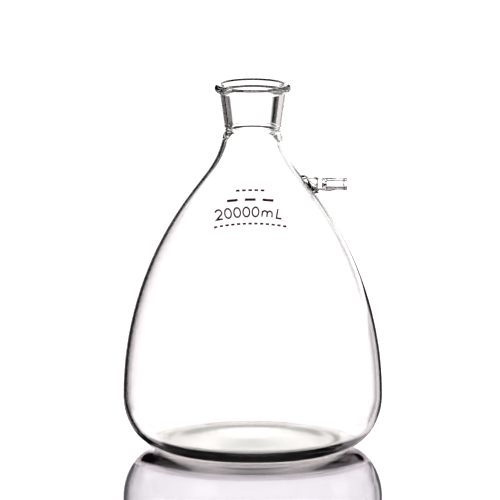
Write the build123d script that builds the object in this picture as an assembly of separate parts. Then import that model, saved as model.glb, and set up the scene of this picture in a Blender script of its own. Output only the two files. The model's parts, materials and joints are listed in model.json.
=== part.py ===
from build123d import *
import os
from math import atan2, cos, degrees, radians, sin

# Twenty-litre borosilicate filter flask: a blown pear-shaped vessel with a heavy tapered
# neck, a beaded rim and one hose nozzle high on the shoulder. All sizes in millimetres.
# Origin: centre of the foot, on the bench. +Z up along the vessel axis, +X along the nozzle.

# ---- driving dimensions -------------------------------------------------------------
BELLY_R = 168.5            # widest radius of the vessel
BELLY_Z = 68.0             # height of the widest point
BELLY_ARC_R = 82.0         # arc below the widest point
HEEL_ANGLE = 30.0          # where the belly arc hands over to the tighter heel arc
FLANK_ARC_R = 445.0        # long arc above the widest point
SHOULDER_ANGLE = 37.0      # slope of the shoulder cone, from the vertical
SHOULDER_LENGTH = 33.0     # straight stretch of the shoulder cone
NECK_ARC_R = 110.0         # concave arc that turns the shoulder up into the neck root
ROOT_ANGLE = 9.0           # slope left at the neck root
INNER_ROOT_ANGLE = 14.0    # where the inside wall starts to close in on the throat

FOOT_INNER_R = 96.0        # the vessel stands on the ring outside this radius
PUSH_UP = 3.0              # rise of the base inside that ring

WALL_BASE = 9.0            # the glass gathers in the base and in the corner above the foot
WALL_HEEL = 5.0            # at the top of the heel arc
WALL_BELLY = 4.6
WALL_FLANK = 4.2
WALL_SHOULDER = 3.8
FLOOR_EDGE_R = 102.0       # where the inside corner runs out into the floor

SEAT_R = 36.0              # outside radius of the two faces fused at the neck weld
THROAT_R = 31.0            # bore at its narrowest, through the weld
COLLAR_TOP_Z = 416.5
WELD_HEIGHT = 4.0
WELD_WAIST_R = 35.2        # bottom of the groove that the weld leaves
THROAT_BOTTOM_Z = 416.5
THROAT_TOP_Z = 422.0

NECK_FOOT_R = 37.4         # outside of the neck just above its rounded lower edge
NECK_EDGE_HEIGHT = 4.0
NECK_TOP_Z = 466.0
NECK_TOP_R = 43.3
MOUTH_R = 36.6             # top of the tapered bore
LEDGE_R = 39.8             # sloping ledge round the top of the bore, inside the bead
LEDGE_Z = 467.6
BEAD_OUTER_R = 49.6
BEAD_MID_Z = 471.3
RIM_TOP_R = 42.4
RIM_TOP_Z = 476.2

NOZZLE_Z = 345.0           # height of the nozzle axis
BOSS_R = 12.0              # weld boss between the vessel wall and the nozzle
BOSS_HEIGHT = 4.6          # how far the boss stands off the wall
BOSS_ROUND = 2.2
NOZZLE_BORE_R = 4.5
BORE_ROOT_R = 6.4          # the bore is wider through the wall and the root of the nozzle
BORE_NARROWS_X = 89.0      # it narrows between these two places
BORE_NARROW_X = 97.0
NOZZLE_R = 7.6
NOZZLE_ROOT_R = 9.8        # the tube flares a little where it meets the boss
NOZZLE_WAIST_R = 8.5       # between that flare and the ridge
NOZZLE_ROOT_X = 86.0       # middle of the flare
FLARE_LENGTH = 7.0
RIDGE_R = 8.8              # ridge that holds the hose
RIDGE_X = 98.0
RIDGE_LAND = 3.0           # constant-radius crest of the ridge
RIDGE_SLOPE = 4.5          # length of its flank towards the root
RIDGE_FALL = 10.0          # length of its flank towards the tip
LIP_R = 8.2                # fire-polished lip at the tip, rounded over its own length
LIP_LENGTH = 2.6
LIP_SWELL = 3.0            # length over which the tube swells to the lip
TIP_X = 122.5
ARM_START_X = 40.0         # boss and nozzle are drawn from here and then trimmed to the wall
CUT_MARGIN = 10.0          # how far the bore's cutter runs past the glass

PRINT_THICKNESS = 0.15     # height of the fired enamel above the glass
PRINT_STROKE = 2.1
FIGURE_HEIGHT = 12.9       # cap height of the capacity figure, measured vertically
FIGURE_WIDTH = 10.5
FIGURE_PITCH = 11.8
FIGURE_Z = 324.8           # middle of the capacity figure on the centre line
FIGURE_X = -8.2            # middle of the third nought
PRINT_SAG_R = 180.0        # the straight print strip wraps on the cone, so its ends drop
PRINT_ARC = 8.0            # degrees of the flank arc that the print reaches down from the cone
M_ARCH_R = 3.2             # the two arches of the letter m
L_WIDTH = 8.9
M_SHIFT = 3.4              # the letters stand further along than the pitch of the figures
L_SHIFT = 7.6
DASH_SHARE = 0.62          # part of the pitch that a dash fills
SMALL_DASH = 2.4           # heights of the dashes
NAME_DASH = 3.0
TOP_PITCH = 8.0
TOP_RISE = 25.0            # heights of the rows of dashes over and under the figure
NAME_PITCH = 23.0
NAME_RISE = 14.2
LOW_PITCH = 7.4
LOW_DROP = 13.5
ROWS_X = -3.3              # middle of the rows of dashes


# ---- the vessel outline, as points on its arcs ---------------------------------------
def arc_point(centre, radius, angle):
    """Point of the half-plane (radius from the axis, height) on an arc."""
    return (centre[0] + radius * cos(radians(angle)), centre[1] + radius * sin(radians(angle)))


belly_centre = (BELLY_R - BELLY_ARC_R, BELLY_Z)
heel_top = arc_point(belly_centre, BELLY_ARC_R, -HEEL_ANGLE)
HEEL_ARC_R = heel_top[1] / (1 - sin(radians(HEEL_ANGLE)))
heel_centre = arc_point(heel_top, HEEL_ARC_R, 180 - HEEL_ANGLE)
foot_outer = (heel_centre[0], 0.0)
floor_edge = (FLOOR_EDGE_R, WALL_BASE)

flank_centre = (BELLY_R - FLANK_ARC_R, BELLY_Z)
cone_bottom = arc_point(flank_centre, FLANK_ARC_R, SHOULDER_ANGLE)
cone_top = arc_point(cone_bottom, SHOULDER_LENGTH, 90 + SHOULDER_ANGLE)
neck_arc_centre = arc_point(cone_top, NECK_ARC_R, SHOULDER_ANGLE)
neck_root = arc_point(neck_arc_centre, -NECK_ARC_R, ROOT_ANGLE)


def outer_edges():
    """The outside of the vessel from the foot ring up to the rounded collar."""
    heel_mid = arc_point(heel_centre, HEEL_ARC_R, -(90 + HEEL_ANGLE) / 2)
    belly_mid = arc_point(belly_centre, BELLY_ARC_R, -HEEL_ANGLE / 2)
    flank_mid = arc_point(flank_centre, FLANK_ARC_R, SHOULDER_ANGLE / 2)
    neck_mid = arc_point(neck_arc_centre, -NECK_ARC_R, (SHOULDER_ANGLE + ROOT_ANGLE) / 2)
    root_direction = (-sin(radians(ROOT_ANGLE)), cos(radians(ROOT_ANGLE)))
    return [
        ThreePointArc(foot_outer, heel_mid, heel_top),
        ThreePointArc(heel_top, belly_mid, (BELLY_R, BELLY_Z)),
        ThreePointArc((BELLY_R, BELLY_Z), flank_mid, cone_bottom),
        Line(cone_bottom, cone_top),
        ThreePointArc(cone_top, neck_mid, neck_root),
        TangentArc(neck_root, (SEAT_R, COLLAR_TOP_Z), tangent=root_direction),
    ]


def inner_edges():
    """The inside wall from the floor up to the throat, set in by the wall thickness."""
    heel_end = arc_point(heel_centre, HEEL_ARC_R - WALL_HEEL, -HEEL_ANGLE)
    heel_direction = (sin(radians(HEEL_ANGLE)), cos(radians(HEEL_ANGLE)))
    belly_mid = arc_point(belly_centre, BELLY_ARC_R - (WALL_HEEL + WALL_BELLY) / 2, -HEEL_ANGLE / 2)
    belly_end = (BELLY_R - WALL_BELLY, BELLY_Z)
    flank_mid = arc_point(flank_centre, FLANK_ARC_R - WALL_FLANK, SHOULDER_ANGLE / 2)
    flank_end = arc_point(flank_centre, FLANK_ARC_R - WALL_SHOULDER, SHOULDER_ANGLE)
    neck_arc_start = arc_point(neck_arc_centre, -NECK_ARC_R - WALL_SHOULDER, SHOULDER_ANGLE)
    neck_mid_angle = (SHOULDER_ANGLE + INNER_ROOT_ANGLE) / 2
    neck_arc_mid = arc_point(neck_arc_centre, -NECK_ARC_R - WALL_SHOULDER, neck_mid_angle)
    neck_arc_end = arc_point(neck_arc_centre, -NECK_ARC_R - WALL_SHOULDER, INNER_ROOT_ANGLE)
    root_direction = (-sin(radians(INNER_ROOT_ANGLE)), cos(radians(INNER_ROOT_ANGLE)))
    return [
        Spline(floor_edge, heel_end, tangents=[(1, 0), heel_direction]),
        ThreePointArc(heel_end, belly_mid, belly_end),
        ThreePointArc(belly_end, flank_mid, flank_end),
        Line(flank_end, neck_arc_start),
        ThreePointArc(neck_arc_start, neck_arc_mid, neck_arc_end),
        Spline(neck_arc_end, (THROAT_R, THROAT_BOTTOM_Z), tangents=[root_direction, (0, 1)]),
    ]


def turned(edges):
    """Solid of revolution about the vessel axis from a closed outline."""
    return revolve(Plane.XZ * make_face(edges), axis=Axis.Z)


def nozzle_turned(edges):
    """Solid of revolution about the nozzle axis; the outline's height is its radius."""
    outline = Plane.XZ * (Pos(0, NOZZLE_Z) * make_face(edges))
    return revolve(outline, axis=Axis((0, 0, NOZZLE_Z), (1, 0, 0)))


def closed(*points):
    return Polyline(*points, close=True)


def arm_bore():
    """Air way from inside the vessel out through wall, boss and nozzle."""
    start_x = ARM_START_X - CUT_MARGIN
    end_x = TIP_X + CUT_MARGIN
    return nozzle_turned([
        Polyline((end_x, NOZZLE_BORE_R), (end_x, 0), (start_x, 0), (start_x, BORE_ROOT_R),
                 (BORE_NARROWS_X, BORE_ROOT_R)),
        Spline((BORE_NARROWS_X, BORE_ROOT_R), (BORE_NARROW_X, NOZZLE_BORE_R), tangents=[(1, 0), (1, 0)]),
        Line((BORE_NARROW_X, NOZZLE_BORE_R), (end_x, NOZZLE_BORE_R)),
    ])


def raised_shoulder(height):
    """Everything inside a cone that stands the given height off the shoulder."""
    middle = arc_point(cone_bottom, height, SHOULDER_ANGLE)
    bottom = arc_point(middle, -SHOULDER_LENGTH, 90 + SHOULDER_ANGLE)
    top = arc_point(middle, SHOULDER_LENGTH, 90 + SHOULDER_ANGLE)
    return turned(closed((0, bottom[1]), bottom, top, (0, top[1])))


# ---- the glass pieces ----------------------------------------------------------------
def make_vessel_outside():
    """The vessel as a full solid of glass, before its inside is taken out."""
    push_up = ThreePointArc((0, PUSH_UP), (FOOT_INNER_R / 2, PUSH_UP * 3 / 4), (FOOT_INNER_R, 0))
    foot = Line((FOOT_INNER_R, 0), foot_outer)
    lid = Line((SEAT_R, COLLAR_TOP_Z), (0, COLLAR_TOP_Z))
    axis_line = Line((0, COLLAR_TOP_Z), (0, PUSH_UP))
    return turned([push_up, foot, *outer_edges(), lid, axis_line])


def make_vessel_inside():
    throat = Line((THROAT_R, THROAT_BOTTOM_Z), (THROAT_R, COLLAR_TOP_Z + 1))
    lid = Line((THROAT_R, COLLAR_TOP_Z + 1), (0, COLLAR_TOP_Z + 1))
    floor_z = WALL_BASE + PUSH_UP
    axis_line = Line((0, COLLAR_TOP_Z + 1), (0, floor_z))
    floor = Spline((0, floor_z), floor_edge, tangents=[(1, 0), (1, 0)])
    return turned([*inner_edges(), throat, lid, axis_line, floor])


def make_neck():
    """Heavy tapered neck with a rounded lower edge, its bore narrowing to the throat."""
    foot_z = COLLAR_TOP_Z + WELD_HEIGHT
    edge_top = (NECK_FOOT_R, foot_z + NECK_EDGE_HEIGHT)
    taper = (NECK_FOOT_R - NECK_TOP_R, edge_top[1] - NECK_TOP_Z)
    return turned([
        Polyline((SEAT_R, foot_z), (THROAT_R, foot_z), (THROAT_R, THROAT_TOP_Z),
                 (MOUTH_R, NECK_TOP_Z), (NECK_TOP_R, NECK_TOP_Z), edge_top),
        TangentArc(edge_top, (SEAT_R, foot_z), tangent=taper),
    ])


def make_neck_weld():
    """Ring of fused glass between collar and neck, drawn in to a shallow groove."""
    top = COLLAR_TOP_Z + WELD_HEIGHT
    middle = COLLAR_TOP_Z + WELD_HEIGHT / 2
    return turned([
        Polyline((SEAT_R, COLLAR_TOP_Z), (THROAT_R, COLLAR_TOP_Z), (THROAT_R, top), (SEAT_R, top)),
        ThreePointArc((SEAT_R, top), (WELD_WAIST_R, middle), (SEAT_R, COLLAR_TOP_Z)),
    ])


def make_rim_bead():
    """Round bead that closes the neck; inside it a ledge, then a mouth that opens out."""
    return turned([
        Line((MOUTH_R, NECK_TOP_Z), (NECK_TOP_R, NECK_TOP_Z)),
        ThreePointArc((NECK_TOP_R, NECK_TOP_Z), (BEAD_OUTER_R, BEAD_MID_Z), (RIM_TOP_R, RIM_TOP_Z)),
        Line((MOUTH_R, NECK_TOP_Z), (LEDGE_R, LEDGE_Z)),
        Spline((LEDGE_R, LEDGE_Z), (RIM_TOP_R, RIM_TOP_Z), tangents=[(0.25, 1), (1, 0)]),
    ])


def make_boss(vessel_outside):
    """Pad of glass fused to the shoulder; its face runs parallel to the wall."""
    plug = nozzle_turned(closed((ARM_START_X, 0), (TIP_X, 0), (TIP_X, BOSS_R), (ARM_START_X, BOSS_R)))
    pad = plug & raised_shoulder(BOSS_HEIGHT)
    rim = pad.edges().sort_by(Axis.X)[-1]
    return fillet(rim, BOSS_ROUND) - vessel_outside - arm_bore()


def make_nozzle():
    """Hose nozzle: flared root, plain tube, a ridge with a short land, rounded lip."""
    land = RIDGE_LAND / 2
    lip_centre = (TIP_X - LIP_LENGTH, LIP_R - LIP_LENGTH)
    lip_start = (TIP_X - LIP_LENGTH, LIP_R)
    swell_start = (lip_start[0] - LIP_SWELL, NOZZLE_R)
    flare_start = NOZZLE_ROOT_X - FLARE_LENGTH / 2
    flare_end = NOZZLE_ROOT_X + FLARE_LENGTH / 2
    profile = [
        Polyline((ARM_START_X, 0), (ARM_START_X, NOZZLE_ROOT_R), (flare_start, NOZZLE_ROOT_R)),
        Spline((flare_start, NOZZLE_ROOT_R), (flare_end, NOZZLE_WAIST_R), tangents=[(1, -0.4), (1, 0)]),
        Line((flare_end, NOZZLE_WAIST_R), (RIDGE_X - land - RIDGE_SLOPE, NOZZLE_WAIST_R)),
        Spline((RIDGE_X - land - RIDGE_SLOPE, NOZZLE_WAIST_R), (RIDGE_X - land, RIDGE_R),
               tangents=[(1, 0), (1, 0)]),
        Line((RIDGE_X - land, RIDGE_R), (RIDGE_X + land, RIDGE_R)),
        Spline((RIDGE_X + land, RIDGE_R), (RIDGE_X + land + RIDGE_FALL, NOZZLE_R),
               tangents=[(1, 0), (1, 0)]),
        Line((RIDGE_X + land + RIDGE_FALL, NOZZLE_R), swell_start),
        Spline(swell_start, lip_start, tangents=[(1, 0), (1, 0)]),
        ThreePointArc(lip_start, arc_point(lip_centre, LIP_LENGTH, 45), (TIP_X, lip_centre[1])),
        Polyline((TIP_X, lip_centre[1]), (TIP_X, 0), (ARM_START_X, 0)),
    ]
    return nozzle_turned(profile) - raised_shoulder(BOSS_HEIGHT) - arm_bore()


# ---- the fired enamel print ----------------------------------------------------------
def figure_nought():
    ring = Ellipse(FIGURE_WIDTH / 2, FIGURE_HEIGHT / 2)
    return ring - Ellipse(FIGURE_WIDTH / 2 - PRINT_STROKE, FIGURE_HEIGHT / 2 - PRINT_STROKE)


def stroked(line):
    return trace(line, PRINT_STROKE)


def figure_two():
    half_w = (FIGURE_WIDTH - PRINT_STROKE) / 2
    half_h = (FIGURE_HEIGHT - PRINT_STROKE) / 2
    crown = EllipticalCenterArc((0, half_h / 3), half_w, half_h * 2 / 3, start_angle=-25, arc_size=190)
    return stroked(crown) + stroked(Polyline(crown @ 0, (-half_w, -half_h), (half_w, -half_h)))


def letter_m():
    low = -(FIGURE_HEIGHT - PRINT_STROKE) / 2
    spring = -M_ARCH_R / 2
    letter = stroked(Line((-M_ARCH_R * 2, low), (-M_ARCH_R * 2, spring + M_ARCH_R)))
    for middle in (-M_ARCH_R, M_ARCH_R):
        arch = CenterArc((middle, spring), M_ARCH_R, 0, 180)
        letter += stroked(arch) + stroked(Line((middle + M_ARCH_R, spring), (middle + M_ARCH_R, low)))
    return letter


def letter_l():
    half_w = (L_WIDTH - PRINT_STROKE) / 2
    half_h = (FIGURE_HEIGHT - PRINT_STROKE) / 2
    return stroked(Polyline((-half_w, half_h), (-half_w, -half_h), (half_w, -half_h)))


def dash_row(count, pitch, height, middle_z):
    """Plain dashes that stand in for a line of small print."""
    first = ROWS_X - pitch * (count - 1) / 2
    dash = Rectangle(pitch * DASH_SHARE, height)
    return [(dash, first + pitch * step, middle_z) for step in range(count)]


def make_print():
    """Capacity figure and rows of dashes, laid on the front of the shoulder."""
    marks = [(figure_two(), FIGURE_X - FIGURE_PITCH * 3, FIGURE_Z)]
    for place in range(4):
        marks.append((figure_nought(), FIGURE_X - FIGURE_PITCH * (2 - place), FIGURE_Z))
    marks.append((letter_m(), FIGURE_X + FIGURE_PITCH * 2 + M_SHIFT, FIGURE_Z))
    marks.append((letter_l(), FIGURE_X + FIGURE_PITCH * 3 + L_SHIFT, FIGURE_Z))
    marks += dash_row(5, TOP_PITCH, SMALL_DASH, FIGURE_Z + TOP_RISE)
    marks += dash_row(3, NAME_PITCH, NAME_DASH, FIGURE_Z + NAME_RISE)
    marks += dash_row(13, LOW_PITCH, SMALL_DASH, FIGURE_Z - LOW_DROP)

    prisms = []
    for mark, along, height in marks:
        sag = along * along / (2 * PRINT_SAG_R)
        tilt = degrees(atan2(-along, PRINT_SAG_R))
        placed = Plane.XZ * (Pos(along, height - sag) * (Rot(0, 0, tilt) * mark))
        prisms.append(extrude(placed, amount=BELLY_R))
    return Compound(children=prisms)


def print_skin(vessel_outside):
    """Layer of enamel thickness all over the shoulder, outside the glass."""
    low = arc_point(flank_centre, FLANK_ARC_R + PRINT_THICKNESS, SHOULDER_ANGLE - PRINT_ARC)
    middle = arc_point(flank_centre, FLANK_ARC_R + PRINT_THICKNESS, SHOULDER_ANGLE - PRINT_ARC / 2)
    high = arc_point(cone_bottom, PRINT_THICKNESS, SHOULDER_ANGLE)
    top = arc_point(high, SHOULDER_LENGTH, 90 + SHOULDER_ANGLE)
    layer = turned([
        ThreePointArc(low, middle, high),
        Line(high, top),
        Polyline(top, (0, top[1]), (0, low[1]), low),
    ])
    return layer - vessel_outside


# ---- build and write ------------------------------------------------------------------
vessel_outside = make_vessel_outside()
nodes = {
    "vessel": vessel_outside - make_vessel_inside() - arm_bore(),
    "neck_weld": make_neck_weld(),
    "neck": make_neck(),
    "rim_bead": make_rim_bead(),
    "side_arm_boss": make_boss(vessel_outside),
    "hose_nozzle": make_nozzle(),
}

skin = print_skin(vessel_outside)
enamel = [piece for prism in make_print().children for piece in (skin & prism).solids()]
nodes["capacity_print"] = Compound(children=enamel)

os.makedirs("parts", exist_ok=True)
for name, shape in nodes.items():
    export_step(shape, f"parts/{name}.step")
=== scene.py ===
import json
from math import atan2, cos, hypot, pi, radians, sin, sqrt

import bmesh
import bpy
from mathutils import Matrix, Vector, noise


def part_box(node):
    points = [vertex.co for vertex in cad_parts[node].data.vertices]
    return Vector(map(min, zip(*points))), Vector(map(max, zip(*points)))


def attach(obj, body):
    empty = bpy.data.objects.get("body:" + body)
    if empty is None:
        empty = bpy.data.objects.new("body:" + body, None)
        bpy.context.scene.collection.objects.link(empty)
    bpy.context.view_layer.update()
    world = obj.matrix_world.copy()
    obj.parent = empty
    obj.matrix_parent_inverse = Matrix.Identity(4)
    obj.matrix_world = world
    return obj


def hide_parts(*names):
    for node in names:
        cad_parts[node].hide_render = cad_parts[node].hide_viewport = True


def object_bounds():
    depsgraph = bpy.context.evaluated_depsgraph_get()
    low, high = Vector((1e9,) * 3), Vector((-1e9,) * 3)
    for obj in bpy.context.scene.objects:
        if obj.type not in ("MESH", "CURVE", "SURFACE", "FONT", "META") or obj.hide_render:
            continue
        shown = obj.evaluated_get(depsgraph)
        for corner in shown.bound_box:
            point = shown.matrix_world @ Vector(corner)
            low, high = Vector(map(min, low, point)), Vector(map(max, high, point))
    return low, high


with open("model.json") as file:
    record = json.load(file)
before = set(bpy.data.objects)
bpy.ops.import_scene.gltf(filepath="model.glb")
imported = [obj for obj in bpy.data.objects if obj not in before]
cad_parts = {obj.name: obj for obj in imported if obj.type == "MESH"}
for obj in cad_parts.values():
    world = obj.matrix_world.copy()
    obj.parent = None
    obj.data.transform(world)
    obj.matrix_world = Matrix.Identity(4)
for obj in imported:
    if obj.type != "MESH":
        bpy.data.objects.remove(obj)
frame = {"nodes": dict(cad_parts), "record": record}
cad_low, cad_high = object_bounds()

# A twenty-litre filter flask of clear borosilicate glass with a fired maroon print, on a
# glossy pale sheet. The glass is one fused piece here: its CAD nodes meet at welds that
# light would otherwise show as walls inside the glass. Lengths are in metres.
MM = 0.001

# ---- sizes read from the frame --------------------------------------------------------
mounts = {mount["name"]: mount for mount in frame["record"]["mounts"]}
THROAT_R = mounts["throat"]["dims"]["r_mm"] * MM
RIDGE_R = mounts["hose_nozzle"]["dims"]["r_mm"] * MM
RIDGE_X = mounts["hose_nozzle"]["pos_m"][0]
NOZZLE_Z = mounts["hose_nozzle"]["pos_m"][2]
BELLY_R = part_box("vessel")[1][0]
COLLAR_TOP_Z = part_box("vessel")[1][2]
SEAT_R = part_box("neck_weld")[1][0]
WELD_TOP_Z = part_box("neck_weld")[1][2]
NECK_TOP_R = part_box("neck")[1][0]
NECK_TOP_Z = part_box("neck")[1][2]
BEAD_OUTER_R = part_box("rim_bead")[1][0]
BOSS_R = (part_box("side_arm_boss")[1][2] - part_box("side_arm_boss")[0][2]) / 2
TIP_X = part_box("hose_nozzle")[1][0]
OBJECT_HEIGHT = cad_high[2] - cad_low[2]

# ---- sizes that the frame doesn't name ------------------------------------------------
BELLY_Z = 68 * MM
BELLY_ARC_R = 82 * MM
HEEL_ANGLE = 30
FLANK_ARC_R = 445 * MM
SHOULDER_ANGLE = 37
SHOULDER_LENGTH = 33 * MM
NECK_ARC_R = 110 * MM
ROOT_ANGLE = 9
INNER_ROOT_ANGLE = 14
FOOT_INNER_R = 96 * MM
PUSH_UP = 3 * MM
WALL_BASE = 9 * MM
WALL_HEEL = 5 * MM
WALL_BELLY = 4.6 * MM
WALL_FLANK = 4.2 * MM
WALL_SHOULDER = 3.8 * MM
FLOOR_EDGE_R = 102 * MM
WELD_WAIST_R = 35.2 * MM
THROAT_BOTTOM_Z = 416.5 * MM
THROAT_TOP_Z = 422 * MM
NECK_FOOT_R = 37.4 * MM
NECK_EDGE_HEIGHT = 4 * MM
MOUTH_R = 36.6 * MM
LEDGE_R = 39.8 * MM
LEDGE_Z = 467.6 * MM
BEAD_MID_Z = 471.3 * MM
RIM_TOP_R = 42.4 * MM
RIM_TOP_Z = 476.2 * MM
BOSS_HEIGHT = 4.6 * MM
BOSS_ROUND = 2 * MM
BOSS_ROOT = 2 * MM           # how far the boss reaches into the wall
NOZZLE_BORE_R = 4.5 * MM
BORE_ROOT_R = 6.4 * MM
BORE_NARROWS_X = 89 * MM
BORE_NARROW_X = 97 * MM
NOZZLE_WAIST_R = 8.5 * MM
NOZZLE_R = 7.6 * MM
NOZZLE_ROOT_R = 9.8 * MM
FLARE_START_R = 9.5 * MM     # the flare that runs from the boss into the nozzle
FLARE_START_X = 82 * MM
FLARE_END_X = 89 * MM
RIDGE_LAND = 3 * MM
RIDGE_SLOPE = 4.5 * MM
RIDGE_FALL = 10 * MM
LIP_R = 8.2 * MM
LIP_LENGTH = 2.6 * MM
LIP_SWELL = 3 * MM           # length over which the tube swells to the lip
LIP_ROUND = 1.7 * MM
BORE_DEPTH = 22 * MM         # how far the bore's cutter starts inside the wall
BORE_MARGIN = 5 * MM         # how far it runs past the tip

UNEVENNESS = 0.0012          # share of the radius by which the inside strays from round
UNEVENNESS_SCALE = 9         # lumps per metre
TURN_STEPS = 288             # facets round the vessel
ARM_STEPS = 72               # facets round the nozzle


# ---- outlines in the half-plane (radius, height) ---------------------------------------
def at(centre, radius, angle):
    return (centre[0] + radius * cos(radians(angle)), centre[1] + radius * sin(radians(angle)))


def arc(centre, radius, start, end, steps):
    return [at(centre, radius, start + (end - start) * i / steps) for i in range(steps + 1)]


def arc_through(first, middle, last, steps):
    """Points of the circle through three points."""
    (ax, ay), (bx, by), (cx, cy) = first, middle, last
    d = 2 * (ax * (by - cy) + bx * (cy - ay) + cx * (ay - by))
    ux = ((ax**2 + ay**2) * (by - cy) + (bx**2 + by**2) * (cy - ay) + (cx**2 + cy**2) * (ay - by)) / d
    uy = ((ax**2 + ay**2) * (cx - bx) + (bx**2 + by**2) * (ax - cx) + (cx**2 + cy**2) * (bx - ax)) / d
    radius = hypot(ax - ux, ay - uy)
    start, mid, end = (atan2(y - uy, x - ux) for x, y in (first, middle, last))
    sweep = (end - start) % (2 * pi)
    if (mid - start) % (2 * pi) > sweep:
        sweep -= 2 * pi
    turns = [start + sweep * i / steps for i in range(steps + 1)]
    return [(ux + radius * cos(t), uy + radius * sin(t)) for t in turns]


def blend(first, last, leaving, arriving, steps):
    """A cubic from one point to the other with the given directions at its ends."""
    pull = hypot(last[0] - first[0], last[1] - first[1])
    out = [component * pull / hypot(*leaving) for component in leaving]
    into = [component * pull / hypot(*arriving) for component in arriving]
    points = []
    for i in range(steps + 1):
        t = i / steps
        weights = (2 * t**3 - 3 * t**2 + 1, t**3 - 2 * t**2 + t, -2 * t**3 + 3 * t**2, t**3 - t**2)
        points.append(tuple(
            weights[0] * first[k] + weights[1] * out[k] + weights[2] * last[k] + weights[3] * into[k]
            for k in (0, 1)
        ))
    return points


def line(first, last, steps=1):
    return [
        (first[0] + (last[0] - first[0]) * i / steps, first[1] + (last[1] - first[1]) * i / steps)
        for i in range(steps + 1)
    ]


def chain(*runs):
    """Runs of points end to end, without doubled points."""
    points = []
    for point in (p for run in runs for p in run):
        if not points or hypot(point[0] - points[-1][0], point[1] - points[-1][1]) > 1e-6:
            points.append(point)
    return points


belly_centre = (BELLY_R - BELLY_ARC_R, BELLY_Z)
heel_top = at(belly_centre, BELLY_ARC_R, -HEEL_ANGLE)
HEEL_ARC_R = heel_top[1] / (1 - sin(radians(HEEL_ANGLE)))
heel_centre = at(heel_top, HEEL_ARC_R, 180 - HEEL_ANGLE)
flank_centre = (BELLY_R - FLANK_ARC_R, BELLY_Z)
cone_bottom = at(flank_centre, FLANK_ARC_R, SHOULDER_ANGLE)
cone_top = at(cone_bottom, SHOULDER_LENGTH, 90 + SHOULDER_ANGLE)
neck_arc_centre = at(cone_top, NECK_ARC_R, SHOULDER_ANGLE)
neck_root = at(neck_arc_centre, -NECK_ARC_R, ROOT_ANGLE)


def vessel_outside():
    root_direction = (-sin(radians(ROOT_ANGLE)), cos(radians(ROOT_ANGLE)))
    return chain(
        blend((0, PUSH_UP), (FOOT_INNER_R, 0), (1, 0), (1, -2 * PUSH_UP / FOOT_INNER_R), 14),
        line((FOOT_INNER_R, 0), (heel_centre[0], 0), 3),
        arc(heel_centre, HEEL_ARC_R, -90, -HEEL_ANGLE, 20),
        arc(belly_centre, BELLY_ARC_R, -HEEL_ANGLE, 0, 14),
        arc(flank_centre, FLANK_ARC_R, 0, SHOULDER_ANGLE, 64),
        line(cone_bottom, cone_top, 8),
        arc(neck_arc_centre, -NECK_ARC_R, SHOULDER_ANGLE, ROOT_ANGLE, 18),
        blend(neck_root, (SEAT_R, COLLAR_TOP_Z), root_direction, (-0.6, 0.8), 8),
    )


def neck_outside():
    weld_middle = (COLLAR_TOP_Z + WELD_TOP_Z) / 2
    edge_top = (NECK_FOOT_R, WELD_TOP_Z + NECK_EDGE_HEIGHT)
    taper = (NECK_TOP_R - NECK_FOOT_R, NECK_TOP_Z - edge_top[1])
    return chain(
        arc_through((SEAT_R, COLLAR_TOP_Z), (WELD_WAIST_R, weld_middle), (SEAT_R, WELD_TOP_Z), 6),
        blend((SEAT_R, WELD_TOP_Z), edge_top, (1, 0.25), taper, 7),
        line(edge_top, (NECK_TOP_R, NECK_TOP_Z), 12),
        arc_through((NECK_TOP_R, NECK_TOP_Z), (BEAD_OUTER_R, BEAD_MID_Z), (RIM_TOP_R, RIM_TOP_Z), 20),
    )


def inside():
    """The inside from the rim down the neck and the wall to the middle of the floor."""
    wall_direction = (sin(radians(INNER_ROOT_ANGLE)), -cos(radians(INNER_ROOT_ANGLE)))
    shoulder_inner = -NECK_ARC_R - WALL_SHOULDER
    flank_end = at(flank_centre, FLANK_ARC_R - WALL_SHOULDER, SHOULDER_ANGLE)
    flank_mid = at(flank_centre, FLANK_ARC_R - WALL_FLANK, SHOULDER_ANGLE / 2)
    belly_end = (BELLY_R - WALL_BELLY, BELLY_Z)
    belly_mid = at(belly_centre, BELLY_ARC_R - (WALL_HEEL + WALL_BELLY) / 2, -HEEL_ANGLE / 2)
    heel_end = at(heel_centre, HEEL_ARC_R - WALL_HEEL, -HEEL_ANGLE)
    heel_direction = (-sin(radians(HEEL_ANGLE)), -cos(radians(HEEL_ANGLE)))
    floor_edge = (FLOOR_EDGE_R, WALL_BASE)
    return chain(
        blend((RIM_TOP_R, RIM_TOP_Z), (LEDGE_R, LEDGE_Z), (-1, 0), (-0.25, -1), 14),
        line((LEDGE_R, LEDGE_Z), (MOUTH_R, NECK_TOP_Z), 3),
        line((MOUTH_R, NECK_TOP_Z), (THROAT_R, THROAT_TOP_Z), 12),
        line((THROAT_R, THROAT_TOP_Z), (THROAT_R, THROAT_BOTTOM_Z), 4),
        blend((THROAT_R, THROAT_BOTTOM_Z), at(neck_arc_centre, shoulder_inner, INNER_ROOT_ANGLE),
              (0, -1), wall_direction, 12),
        arc(neck_arc_centre, shoulder_inner, INNER_ROOT_ANGLE, SHOULDER_ANGLE, 18),
        line(at(neck_arc_centre, shoulder_inner, SHOULDER_ANGLE), flank_end, 8),
        arc_through(flank_end, flank_mid, belly_end, 64),
        arc_through(belly_end, belly_mid, heel_end, 14),
        blend(heel_end, floor_edge, heel_direction, (-1, 0), 22),
        blend(floor_edge, (0, WALL_BASE + PUSH_UP), (-1, 0), (-1, 0), 14),
    )


outer_outline = vessel_outside()


def wall_radius(height):
    """Outside radius of the vessel at a height above its belly."""
    for (r0, z0), (r1, z1) in zip(outer_outline, outer_outline[1:]):
        if z0 <= height <= z1 and z0 > BELLY_Z:
            return r0 + (r1 - r0) * (height - z0) / (z1 - z0)
    raise ValueError(f"no wall at height {height}")


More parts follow.
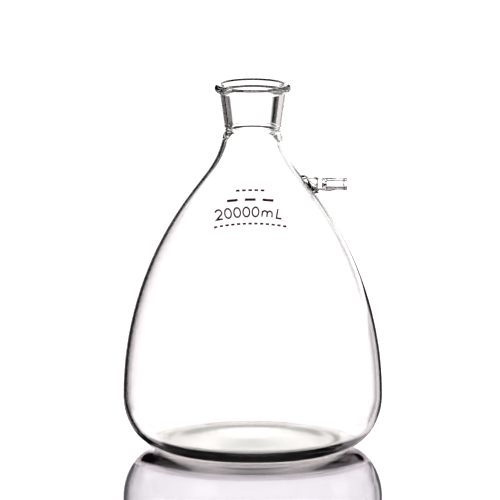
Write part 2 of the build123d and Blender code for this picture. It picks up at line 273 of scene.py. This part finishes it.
# ---- meshes ---------------------------------------------------------------------------
def new_object(name, vertices, faces):
    mesh = bpy.data.meshes.new(name)
    mesh.from_pydata(vertices, [], faces)
    mesh.update()
    made = bpy.data.objects.new(name, mesh)
    bpy.context.scene.collection.objects.link(made)
    return made


def ring_faces(rings, steps):
    """Quads between rings of the same number of points."""
    faces = []
    for ring in range(rings - 1):
        low, high = ring * steps, (ring + 1) * steps
        faces += [(low + i, low + (i + 1) % steps, high + (i + 1) % steps, high + i) for i in range(steps)]
    return faces


def blown(radius, height, angle, amount):
    """The slight unevenness of hand-blown glass, as a change of radius."""
    place = Vector((cos(angle) * radius, sin(angle) * radius, height)) * UNEVENNESS_SCALE
    return radius * (1 + amount * noise.noise(place))


def make_shell():
    """The vessel, neck and rim as one closed wall of glass."""
    outside = chain(outer_outline, neck_outside())
    outline = chain(outside, inside())
    outside_count = len(outside)
    vertices = [(0, 0, outline[0][1])]
    body = outline[1:-1]
    for index, (r, z) in enumerate(body):
        uneven = 0.0 if index < outside_count else UNEVENNESS
        for i in range(TURN_STEPS):
            angle = 2 * pi * i / TURN_STEPS
            radius = blown(r, z, angle, uneven)
            vertices.append((radius * cos(angle), radius * sin(angle), z))
    vertices.append((0, 0, outline[-1][1]))
    faces = [tuple(1 + v for v in face) for face in ring_faces(len(body), TURN_STEPS)]
    last_ring = 1 + (len(body) - 1) * TURN_STEPS
    top = len(vertices) - 1
    for i in range(TURN_STEPS):
        j = (i + 1) % TURN_STEPS
        faces.append((0, 1 + j, 1 + i))
        faces.append((top, last_ring + i, last_ring + j))
    return new_object("flask_glass", vertices, faces)


def on_wall(across, up, stand_off):
    """Point that stands off the vessel's wall, beside the nozzle's axis."""
    radius = wall_radius(NOZZLE_Z + up)
    return sqrt(radius**2 - across**2) + stand_off / cos(radians(SHOULDER_ANGLE))


def arm_rings():
    """Rings of the boss (a radius and a height off the wall) and of the nozzle (a radius and an x)."""
    land = RIDGE_LAND / 2
    lip_x = TIP_X - LIP_LENGTH
    pad = [(BOSS_R * 0.4, -BOSS_ROOT), (BOSS_R, -BOSS_ROOT), (BOSS_R, 0), (BOSS_R, BOSS_HEIGHT / 2)]
    pad += arc((BOSS_R - BOSS_ROUND, BOSS_HEIGHT - BOSS_ROUND), BOSS_ROUND, 15, 90, 5)
    pad += [(NOZZLE_ROOT_R + 0.4 * MM, BOSS_HEIGHT)]
    rings = [("wall", radius, height) for radius, height in pad]
    tube = chain(
        blend((FLARE_START_X, FLARE_START_R), (FLARE_END_X, NOZZLE_WAIST_R), (1, -0.4), (1, 0), 6),
        blend((RIDGE_X - land - RIDGE_SLOPE, NOZZLE_WAIST_R), (RIDGE_X - land, RIDGE_R), (1, 0), (1, 0), 6),
        blend((RIDGE_X + land, RIDGE_R), (RIDGE_X + land + RIDGE_FALL, NOZZLE_R), (1, 0), (1, 0), 8),
        blend((lip_x - LIP_SWELL, NOZZLE_R), (lip_x, LIP_R), (1, 0), (1, 0), 4),
        arc((TIP_X - LIP_ROUND, LIP_R - LIP_ROUND), LIP_ROUND, 90, 0, 6),
    )
    return rings + [("axis", radius, along) for along, radius in tube]


def make_arm():
    """Boss and nozzle as one closed solid, rooted in the middle of the vessel's wall."""
    rings = arm_rings()
    vertices = [(on_wall(0, 0, -BOSS_ROOT), 0, NOZZLE_Z)]
    for kind, radius, place in rings:
        for i in range(ARM_STEPS):
            angle = 2 * pi * i / ARM_STEPS
            across, up = radius * cos(angle), radius * sin(angle)
            x = on_wall(across, up, place) if kind == "wall" else place
            vertices.append((x, across, NOZZLE_Z + up))
    vertices.append((rings[-1][2], 0, NOZZLE_Z))
    faces = [tuple(1 + v for v in face) for face in ring_faces(len(rings), ARM_STEPS)]
    last_ring = 1 + (len(rings) - 1) * ARM_STEPS
    tip = len(vertices) - 1
    for i in range(ARM_STEPS):
        j = (i + 1) % ARM_STEPS
        faces.append((0, 1 + j, 1 + i))
        faces.append((tip, last_ring + i, last_ring + j))
    return new_object("arm_blank", vertices, faces)


def make_bore():
    """The air inside the nozzle, wide at its root, from the vessel's inside out past the tip."""
    outline = chain(
        [(wall_radius(NOZZLE_Z) - BORE_DEPTH, BORE_ROOT_R)],
        blend((BORE_NARROWS_X, BORE_ROOT_R), (BORE_NARROW_X, NOZZLE_BORE_R), (1, 0), (1, 0), 8),
        [(TIP_X + BORE_MARGIN, NOZZLE_BORE_R)],
    )
    vertices = []
    for x, radius in outline:
        for i in range(ARM_STEPS):
            angle = 2 * pi * i / ARM_STEPS
            vertices.append((x, radius * cos(angle), NOZZLE_Z + radius * sin(angle)))
    faces = ring_faces(len(outline), ARM_STEPS)
    last = len(vertices)
    faces += [tuple(reversed(range(ARM_STEPS))), tuple(range(last - ARM_STEPS, last))]
    return new_object("bore_blank", vertices, faces)


def outward(made):
    work = bmesh.new()
    work.from_mesh(made.data)
    bmesh.ops.recalc_face_normals(work, faces=work.faces)
    work.to_mesh(made.data)
    work.free()


def combine(target, tool, operation):
    """Joins the tool to the target, or cuts it away, and drops the tool."""
    for made in (target, tool):
        outward(made)
    modifier = target.modifiers.new("combine", "BOOLEAN")
    modifier.operation = operation
    modifier.solver = "EXACT"
    modifier.object = tool
    graph = bpy.context.evaluated_depsgraph_get()
    mesh = bpy.data.meshes.new_from_object(target.evaluated_get(graph))
    target.modifiers.clear()
    old = target.data
    target.data = mesh
    bpy.data.meshes.remove(old)
    bpy.data.objects.remove(tool)


def smooth(made, crease_angle):
    made.data.polygons.foreach_set("use_smooth", [True] * len(made.data.polygons))
    made.data.set_sharp_from_angle(angle=radians(crease_angle))


# ---- materials ------------------------------------------------------------------------
class Nodes:
    """Short way to add nodes to a tree and link them."""

    def __init__(self, tree):
        self.tree = tree
        tree.nodes.clear()

    def add(self, kind, **settings):
        node = self.tree.nodes.new(kind)
        for name, value in settings.items():
            setattr(node, name, value)
        return node

    def math(self, operation, first, second=None):
        node = self.add("ShaderNodeMath", operation=operation)
        for socket, value in zip(node.inputs, (first, second)):
            if value is None:
                continue
            if isinstance(value, (int, float)):
                socket.default_value = value
            else:
                self.link(value, socket)
        return node.outputs[0]

    def link(self, output, socket):
        self.tree.links.new(output, socket)


def ramp(nodes, value, start, end):
    """Smooth step from 0 at the start to 1 at the end, which may lie either way."""
    step = nodes.add("ShaderNodeMapRange", interpolation_type="SMOOTHSTEP")
    step.inputs["From Min"].default_value = start
    step.inputs["From Max"].default_value = end
    nodes.link(value, step.inputs["Value"])
    return step.outputs[0]


def new_material(name):
    material = bpy.data.materials.new(name)
    material.use_nodes = True
    return material, Nodes(material.node_tree)


def glass_material():
    """Clear borosilicate: faint vertical draw lines, a slow waviness, a green tint in depth."""
    material, nodes = new_material("borosilicate")
    out = nodes.add("ShaderNodeOutputMaterial")
    shader = nodes.add("ShaderNodeBsdfPrincipled")
    shader.inputs["Base Color"].default_value = (1, 1, 1, 1)
    shader.inputs["Transmission Weight"].default_value = 1.0
    shader.inputs["IOR"].default_value = 1.473
    nodes.link(shader.outputs[0], out.inputs["Surface"])

    place = nodes.add("ShaderNodeTexCoord")
    stretched = nodes.add("ShaderNodeMapping")
    stretched.inputs["Scale"].default_value = (1, 1, 0.12)
    nodes.link(place.outputs["Object"], stretched.inputs["Vector"])
    draw_lines = nodes.add("ShaderNodeTexNoise")
    draw_lines.inputs["Scale"].default_value = 36
    draw_lines.inputs["Detail"].default_value = 2
    nodes.link(stretched.outputs[0], draw_lines.inputs["Vector"])
    waves = nodes.add("ShaderNodeTexNoise")
    waves.inputs["Scale"].default_value = 16
    waves.inputs["Detail"].default_value = 1
    nodes.link(place.outputs["Object"], waves.inputs["Vector"])
    faint_lines = nodes.math("MULTIPLY", draw_lines.outputs["Fac"], 0.35)
    height = nodes.math("ADD", faint_lines, waves.outputs["Fac"])
    bump = nodes.add("ShaderNodeBump")
    bump.inputs["Strength"].default_value = 0.05
    bump.inputs["Distance"].default_value = 0.0005
    nodes.link(height, bump.inputs["Height"])
    nodes.link(bump.outputs[0], shader.inputs["Normal"])

    film = nodes.add("ShaderNodeTexNoise")
    film.inputs["Scale"].default_value = 28
    film.inputs["Detail"].default_value = 5
    nodes.link(place.outputs["Object"], film.inputs["Vector"])
    haze = nodes.add("ShaderNodeMapRange")
    haze.inputs["From Min"].default_value = 0.5
    haze.inputs["From Max"].default_value = 0.8
    haze.inputs["To Min"].default_value = 0.0
    haze.inputs["To Max"].default_value = 0.018
    nodes.link(film.outputs["Fac"], haze.inputs["Value"])
    nodes.link(haze.outputs[0], shader.inputs["Roughness"])

    depth = nodes.add("ShaderNodeVolumeAbsorption")
    depth.inputs["Color"].default_value = (0.42, 0.44, 0.34, 1)
    depth.inputs["Density"].default_value = 26.0
    nodes.link(depth.outputs[0], out.inputs["Volume"])
    return material


def enamel_material():
    """Fired screen print: dark maroon, slightly uneven in colour and gloss."""
    material, nodes = new_material("fired_enamel")
    out = nodes.add("ShaderNodeOutputMaterial")
    shader = nodes.add("ShaderNodeBsdfPrincipled")
    see_through = nodes.add("ShaderNodeBsdfTransparent")
    see_through.inputs["Color"].default_value = (0.62, 0.16, 0.26, 1)
    thin = nodes.add("ShaderNodeMixShader")
    thin.inputs[0].default_value = 0.12
    nodes.link(shader.outputs[0], thin.inputs[1])
    nodes.link(see_through.outputs[0], thin.inputs[2])
    nodes.link(thin.outputs[0], out.inputs["Surface"])
    place = nodes.add("ShaderNodeTexCoord")
    grain = nodes.add("ShaderNodeTexNoise")
    grain.inputs["Scale"].default_value = 900
    grain.inputs["Detail"].default_value = 4
    nodes.link(place.outputs["Object"], grain.inputs["Vector"])
    tone = nodes.add("ShaderNodeValToRGB")
    tone.color_ramp.elements[0].position = 0.3
    tone.color_ramp.elements[0].color = (0.045, 0.006, 0.016, 1)
    tone.color_ramp.elements[1].position = 0.75
    tone.color_ramp.elements[1].color = (0.16, 0.035, 0.065, 1)
    nodes.link(grain.outputs["Fac"], tone.inputs["Fac"])
    nodes.link(tone.outputs["Color"], shader.inputs["Base Color"])
    gloss = nodes.add("ShaderNodeMapRange")
    gloss.inputs["To Min"].default_value = 0.22
    gloss.inputs["To Max"].default_value = 0.45
    nodes.link(grain.outputs["Fac"], gloss.inputs["Value"])
    nodes.link(gloss.outputs[0], shader.inputs["Roughness"])
    bump = nodes.add("ShaderNodeBump")
    bump.inputs["Strength"].default_value = 0.25
    bump.inputs["Distance"].default_value = 0.0001
    nodes.link(grain.outputs["Fac"], bump.inputs["Height"])
    nodes.link(bump.outputs[0], shader.inputs["Normal"])
    return material


def floor_material():
    """Polished pale sheet: a mirror, dimmed in front by painted shade, where it also glows with painted
    light in place of scattered light.
    """
    material, nodes = new_material("glossy_sheet")
    out = nodes.add("ShaderNodeOutputMaterial")
    shader = nodes.add("ShaderNodeBsdfAnisotropic")
    shader.inputs["Roughness"].default_value = 0.0
    # Painted light: the front of the sheet glows by emission, though it is no lamp.
    painted_glow = nodes.add("ShaderNodeEmission")
    painted_glow.inputs["Color"].default_value = (1, 0.95, 1.03, 1)
    both = nodes.add("ShaderNodeAddShader")
    nodes.link(shader.outputs[0], both.inputs[0])
    nodes.link(painted_glow.outputs[0], both.inputs[1])
    nodes.link(both.outputs[0], out.inputs["Surface"])
    place = nodes.add("ShaderNodeTexCoord")
    apart = nodes.add("ShaderNodeSeparateXYZ")
    nodes.link(place.outputs["Object"], apart.inputs[0])
    # Painted shade: the mirror colour darkens towards the front of the flask.
    rise = ramp(nodes, apart.outputs["Y"], -BELLY_R, -FOOT_INNER_R)
    tone = nodes.add("ShaderNodeMix", data_type="RGBA")
    tone.inputs[6].default_value = FLOOR_SHADED_FRONT
    tone.inputs[7].default_value = FLOOR_LIT_BACK
    nodes.link(rise, tone.inputs[0])
    nodes.link(tone.outputs[2], shader.inputs["Color"])
    in_front = nodes.math("SUBTRACT", 1.0, rise)
    nodes.link(nodes.math("MULTIPLY", in_front, FLOOR_PAINTED_GLOW), painted_glow.inputs["Strength"])
    return material


# ---- the flask ------------------------------------------------------------------------
def make_flask():
    glass = make_shell()
    combine(glass, make_arm(), "UNION")
    combine(glass, make_bore(), "DIFFERENCE")
    outward(glass)
    smooth(glass, 50)
    glass.data.materials.clear()
    glass.data.materials.append(glass_material())
    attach(glass, "root")
    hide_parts("vessel", "neck_weld", "neck", "rim_bead", "side_arm_boss", "hose_nozzle")

    prints = frame["nodes"]["capacity_print"]
    prints.data.materials.clear()
    prints.data.materials.append(enamel_material())


# ---- studio ---------------------------------------------------------------------------
FLOOR_HALF = 3.0
FLOOR_DEPTH = 2.8            # from the flask's axis to the sheet's back edge
# Painted shade and light: the sheet's mirror colour is darker in front of the flask than behind it.
FLOOR_SHADED_FRONT = (0.51, 0.482, 0.525, 1)
FLOOR_LIT_BACK = (0.84, 0.78, 0.82, 1)
FLOOR_PAINTED_GLOW = 0.09            # painted glow of the sheet's front, as a radiance, in place of scattered light
PANEL_LIGHT = 2.12           # radiance of the light panels
ROOM_LIGHT = 0.018           # radiance of the dark room between them


def make_floor():
    half = FLOOR_HALF
    corners = [(-half, -half, 0), (half, -half, 0), (half, FLOOR_DEPTH, 0), (-half, FLOOR_DEPTH, 0)]
    floor = new_object("floor", corners, [(0, 1, 2, 3)])
    floor.location.z = cad_low[2] - 0.2 * MM
    floor.data.materials.append(floor_material())


def panel(nodes, around, up, sides, heights, soft=4.0):
    """A soft-edged light panel between two azimuths and two elevations, in degrees."""
    middle, half = (sides[0] + sides[1]) / 2, (sides[1] - sides[0]) / 2
    wrapped = nodes.math("MODULO", nodes.math("ADD", around, 900.0 - middle), 360.0)
    off_middle = nodes.math("ABSOLUTE", nodes.math("SUBTRACT", wrapped, 180.0))
    across = ramp(nodes, off_middle, half + soft / 2, half - soft / 2)
    above = ramp(nodes, up, heights[0] - soft / 2, heights[0] + soft / 2)
    below = ramp(nodes, up, heights[1] + soft / 2, heights[1] - soft / 2)
    return nodes.math("MULTIPLY", across, nodes.math("MULTIPLY", above, below))


def make_room():
    """White light panels round the flask and a white ceiling, with dark room between them.

    Each panel has its range of azimuth from straight behind the flask, its range of elevation,
    and its share of the full light. Panels over `steep` shine from below as they do from above.
    """
    world = bpy.data.worlds.new("studio")
    world.use_nodes = True
    bpy.context.scene.world = world
    nodes = Nodes(world.node_tree)
    out = nodes.add("ShaderNodeOutputWorld")
    background = nodes.add("ShaderNodeBackground")
    nodes.link(background.outputs[0], out.inputs["Surface"])
    direction = nodes.add("ShaderNodeTexCoord")
    apart = nodes.add("ShaderNodeSeparateXYZ")
    nodes.link(direction.outputs["Generated"], apart.inputs[0])
    turn = nodes.math("ARCTAN2", apart.outputs["X"], apart.outputs["Y"])
    around = nodes.math("MULTIPLY", turn, 180 / pi)
    up = nodes.math("MULTIPLY", nodes.math("ARCSINE", apart.outputs["Z"]), 180 / pi)
    steep = nodes.math("ABSOLUTE", up)
    light = None
    for height, sides, heights, share in (
        (up, (-11, 8), (-100, 26), 1.0),        # behind the flask as the main camera sees it
        (up, (8, 75), (-100, 1), 0.55),         # low on the right
        (up, (17, 75), (-100, 1), 1.0),         # low on the far right
        (up, (10, 75), (18, 30), 0.5),          # high on the right
        (up, (24, 75), (-1, 42), 0.6),          # far right, seen through the nozzle
        (steep, (-102, -79), (-1, 12), 1.0),    # left
        (steep, (-58, -34), (17, 42), 1.0),     # left, behind
        (steep, (123, 148), (4, 30), 1.0),      # right, in front
        (up, (-180, 180), (76, 100), 0.8),      # ceiling
    ):
        lit = nodes.math("MULTIPLY", panel(nodes, around, height, sides, heights), share)
        light = lit if light is None else nodes.math("MAXIMUM", light, lit)
    tone = nodes.add("ShaderNodeMix", data_type="RGBA")
    tone.inputs[6].default_value = (ROOM_LIGHT * 1.15, ROOM_LIGHT, ROOM_LIGHT * 1.2, 1)
    tone.inputs[7].default_value = (PANEL_LIGHT, PANEL_LIGHT, PANEL_LIGHT, 1)
    nodes.link(light, tone.inputs[0])
    nodes.link(tone.outputs[2], background.inputs["Color"])


CAMERA_DISTANCE = 15.0
CAMERA_ELEVATION = 10.8
VIEW_WIDTH = OBJECT_HEIGHT * 1.3585
AIM_HEIGHT = OBJECT_HEIGHT * 0.5421
AIM_LEFT = OBJECT_HEIGHT * 0.0073


def make_camera():
    camera = bpy.data.objects.new("camera", bpy.data.cameras.new("camera"))
    bpy.context.scene.collection.objects.link(camera)
    elevation = radians(CAMERA_ELEVATION)
    back = Vector((0, -cos(elevation), sin(elevation)))
    camera.location = Vector((-AIM_LEFT, 0, AIM_HEIGHT)) + back * CAMERA_DISTANCE
    camera.rotation_mode = "QUATERNION"
    camera.rotation_quaternion = (-back).to_track_quat("-Z", "Y")
    camera.data.sensor_width = 36
    camera.data.lens = camera.data.sensor_width * CAMERA_DISTANCE / VIEW_WIDTH
    camera.data.clip_end = 100
    bpy.context.scene.camera = camera


make_flask()
make_floor()
make_room()
make_camera()
bpy.context.scene.view_settings.view_transform = "Standard"
